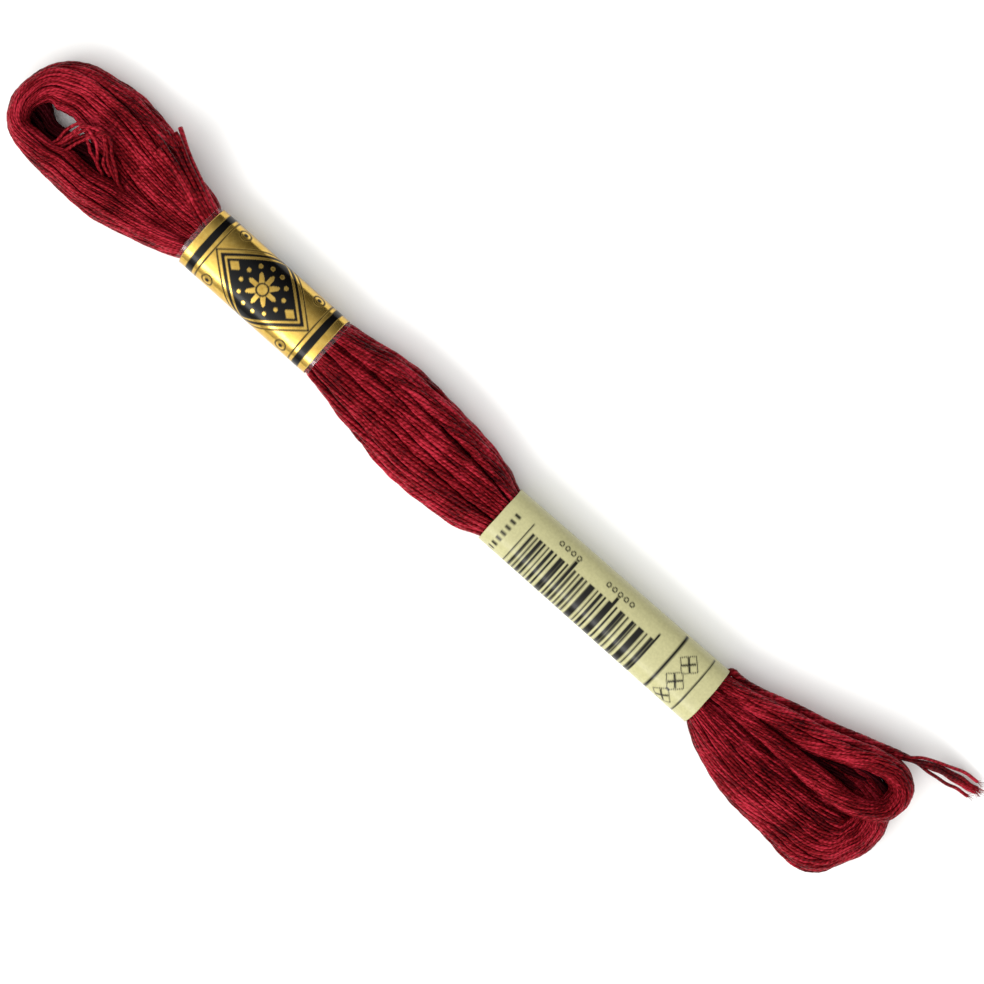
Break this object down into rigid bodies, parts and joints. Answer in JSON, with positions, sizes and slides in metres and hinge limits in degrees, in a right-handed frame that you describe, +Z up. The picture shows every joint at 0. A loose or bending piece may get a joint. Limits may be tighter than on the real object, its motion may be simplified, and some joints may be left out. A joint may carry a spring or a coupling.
{
  "type": "skein of embroidery floss",
  "caption": "Skein of dark red six-strand cotton embroidery floss, wound in a long flat hank with a looped head and held by a gold paper band and a pale paper band",
  "frame": {"origin": "middle of the hank's length and width, on the surface that it lies on", "axes": "+X runs along the hank from its looped head to its spread tail, +Y across it, +Z up from the surface"},
  "size_m": [0.1723, 0.0267, 0.0082],
  "materials": {
    "hank": "soft cotton lustre",
    "foil_band": "metallic foil print",
    "pale_band": "satin",
    "tail_end": "soft cotton lustre",
    "head_end": "soft cotton lustre"
  },
  "bodies": {
    "root": {"hank": "hank", "foil_band": "foil_band", "pale_band": "pale_band", "tail_end": "tail_end", "head_end": "head_end"}
  },
  "joints": []
}
